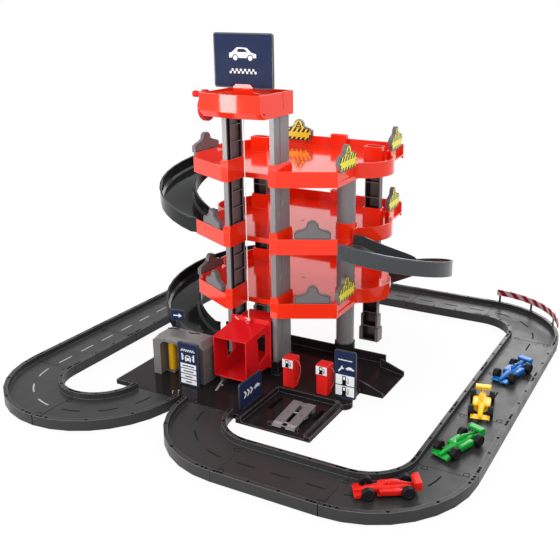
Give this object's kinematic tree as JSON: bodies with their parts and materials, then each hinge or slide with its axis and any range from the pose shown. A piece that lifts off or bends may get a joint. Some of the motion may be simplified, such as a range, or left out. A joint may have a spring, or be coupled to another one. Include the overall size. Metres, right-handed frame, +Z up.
{
  "type": "toy parking garage",
  "caption": "Toy parking garage with a road loop, round-cornered decks, curved ramps, a string lift with a winch, a car wash, a service bay and small race cars.",
  "frame": {"origin": "on the floor, in the middle of the road loop", "axes": "+Z up, +X to the right and +Y to the back, as seen from the side of the lift and the service bay"},
  "size_m": [0.99, 0.99, 0.7],
  "materials": {
    "red_plastic": "glossy",
    "road_plastic": "satin",
    "base_plastic": "glossy",
    "ramp_plastic": "glossy",
    "ramp_grey_plastic": "satin",
    "pillar_plastic": "satin",
    "clip_plastic": "satin",
    "housing_plastic": "satin",
    "sign_plastic": "satin",
    "hazard_plastic": "satin",
    "roller_foam": "rough",
    "string": "woven",
    "tyre_plastic": "satin",
    "car_red": "glossy",
    "car_green": "glossy",
    "car_yellow": "glossy",
    "car_blue": "glossy"
  },
  "bodies": {
    "garage": {"track_bend_front_left": "road_plastic", "track_front": "road_plastic", "track_bend_front_right": "road_plastic", "track_right_near": "road_plastic", "track_right_far": "road_plastic", "track_bend_back_right": "road_plastic", "track_back": "road_plastic", "track_bend_back_left": "road_plastic", "track_left": "road_plastic", "track_loop_left": "road_plastic", "barrier_rail": "clip_plastic", "base_plate": "base_plastic", "deck_1": "red_plastic", "deck_2": "red_plastic", "deck_3": "red_plastic", "lift_pillar_left": "pillar_plastic", "lift_pillar_right": "pillar_plastic", "pillar_front_right": "pillar_plastic", "pillar_back_left": "pillar_plastic", "pillar_back_right": "pillar_plastic", "ramp_upper": "ramp_plastic", "ramp_middle": "ramp_grey_plastic", "ramp_lower": "ramp_plastic", "lift_head": "red_plastic", "lift_string": "string", "top_sign": "sign_plastic", "car_wash_housing": "housing_plastic", "wash_sign": "sign_plastic", "fuel_sign": "sign_plastic", "parking_sign": "sign_plastic", "fuel_pump_left": "red_plastic", "fuel_pump_right": "red_plastic", "clip_3_left": "clip_plastic", "clip_2_front_left": "clip_plastic", "clip_1_left": "clip_plastic", "clip_1_front_left": "clip_plastic", "clip_2_front_right": "clip_plastic", "clip_1_front_right": "clip_plastic", "clip_3_right": "hazard_plastic", "clip_1_right": "hazard_plastic", "clip_3_back_right": "hazard_plastic", "clip_2_back_right": "hazard_plastic", "clip_3_back": "hazard_plastic"},
    "cage": {"lift_cage": "red_plastic"},
    "winch": {"winch_crank": "red_plastic"},
    "roller_left": {"wash_roller_left": "roller_foam"},
    "roller_right": {"wash_roller_right": "roller_foam"},
    "service_lift": {"service_lift": "clip_plastic"},
    "red_car": {"car_red_body": "car_red"},
    "red_car_front_axle": {"car_red_axle_front": "tyre_plastic"},
    "red_car_rear_axle": {"car_red_axle_rear": "tyre_plastic"},
    "green_car": {"car_green_body": "car_green"},
    "green_car_front_axle": {"car_green_axle_front": "tyre_plastic"},
    "green_car_rear_axle": {"car_green_axle_rear": "tyre_plastic"},
    "yellow_car": {"car_yellow_body": "car_yellow"},
    "yellow_car_front_axle": {"car_yellow_axle_front": "tyre_plastic"},
    "yellow_car_rear_axle": {"car_yellow_axle_rear": "tyre_plastic"},
    "blue_car": {"car_blue_body": "car_blue"},
    "blue_car_front_axle": {"car_blue_axle_front": "tyre_plastic"},
    "blue_car_rear_axle": {"car_blue_axle_rear": "tyre_plastic"}
  },
  "joints": [
    {"name": "lift_slide", "type": "slide", "parent": "garage", "child": "cage", "axis": [0, 0, 1], "range_m": [-0.012, 0.3908], "deforming": ["lift_string"]},
    {"name": "winch_turn", "type": "hinge", "parent": "garage", "child": "winch", "pos_m": [-0.05, -0.144, 0.561], "axis": [1, 0, 0], "range_deg": [-52.6, 1709.4]},
    {"name": "roller_left_spin", "type": "hinge", "parent": "garage", "child": "roller_left", "pos_m": [-0.197, -0.199, 0.05], "axis": [0, 0, 1], "continuous": true},
    {"name": "roller_right_spin", "type": "hinge", "parent": "garage", "child": "roller_right", "pos_m": [-0.127, -0.199, 0.05], "axis": [0, 0, 1], "continuous": true},
    {"name": "service_tilt", "type": "hinge", "parent": "garage", "child": "service_lift", "pos_m": [0.125, -0.2945, 0.0085], "axis": [1, 0, 0], "range_deg": [0, 25]},
    {"name": "red_car_roll", "type": "slide", "parent": "garage", "child": "red_car", "axis": [-0.848, -0.5299, 0], "range_m": [-0.03, 0.03]},
    {"name": "red_front_axle_turn", "type": "hinge", "parent": "red_car", "child": "red_car_front_axle", "pos_m": [0.34835, -0.41897, 0.0208], "axis": [0.5299, -0.848, 0], "range_deg": [-163.8, 163.8]},
    {"name": "red_rear_axle_turn", "type": "hinge", "parent": "red_car", "child": "red_car_rear_axle", "pos_m": [0.40262, -0.38505, 0.0208], "axis": [0.5299, -0.848, 0], "range_deg": [-163.8, 163.8]},
    {"name": "green_car_roll", "type": "slide", "parent": "garage", "child": "green_car", "axis": [-0.3584, -0.9336, 0], "range_m": [-0.02, 0.012]},
    {"name": "green_front_axle_turn", "type": "hinge", "parent": "green_car", "child": "green_car_front_axle", "pos_m": [0.42353, -0.24987, 0.0208], "axis": [0.9336, -0.3584, 0], "range_deg": [-109.2, 65.5]},
    {"name": "green_rear_axle_turn", "type": "hinge", "parent": "green_car", "child": "green_car_rear_axle", "pos_m": [0.44647, -0.19013, 0.0208], "axis": [0.9336, -0.3584, 0], "range_deg": [-109.2, 65.5]},
    {"name": "yellow_car_roll", "type": "slide", "parent": "garage", "child": "yellow_car", "axis": [0.225, -0.9744, 0], "range_m": [-0.02, 0.02]},
    {"name": "yellow_front_axle_turn", "type": "hinge", "parent": "yellow_car", "child": "yellow_car_front_axle", "pos_m": [0.4352, -0.09118, 0.0208], "axis": [0.9744, 0.225, 0], "range_deg": [-109.2, 109.2]},
    {"name": "yellow_rear_axle_turn", "type": "hinge", "parent": "yellow_car", "child": "yellow_car_rear_axle", "pos_m": [0.4208, -0.02882, 0.0208], "axis": [0.9744, 0.225, 0], "range_deg": [-109.2, 109.2]},
    {"name": "blue_car_roll", "type": "slide", "parent": "garage", "child": "blue_car", "axis": [-0.2756, -0.9613, 0], "range_m": [-0.02, 0.03]},
    {"name": "blue_front_axle_turn", "type": "hinge", "parent": "blue_car", "child": "blue_car_front_axle", "pos_m": [0.43568, 0.07724, 0.0208], "axis": [0.9613, -0.2756, 0], "range_deg": [-109.2, 163.8]},
    {"name": "blue_rear_axle_turn", "type": "hinge", "parent": "blue_car", "child": "blue_car_rear_axle", "pos_m": [0.45332, 0.13876, 0.0208], "axis": [0.9613, -0.2756, 0], "range_deg": [-109.2, 163.8]}
  ],
  "couplings": [
    {"joint": "winch_turn", "follows": "lift_slide", "rad_per_m": 76.336},
    {"joint": "red_front_axle_turn", "follows": "red_car_roll", "rad_per_m": 95.238},
    {"joint": "red_rear_axle_turn", "follows": "red_car_roll", "rad_per_m": 95.238},
    {"joint": "green_front_axle_turn", "follows": "green_car_roll", "rad_per_m": 95.238},
    {"joint": "green_rear_axle_turn", "follows": "green_car_roll", "rad_per_m": 95.238},
    {"joint": "yellow_front_axle_turn", "follows": "yellow_car_roll", "rad_per_m": 95.238},
    {"joint": "yellow_rear_axle_turn", "follows": "yellow_car_roll", "rad_per_m": 95.238},
    {"joint": "blue_front_axle_turn", "follows": "blue_car_roll", "rad_per_m": 95.238},
    {"joint": "blue_rear_axle_turn", "follows": "blue_car_roll", "rad_per_m": 95.238}
  ]
}
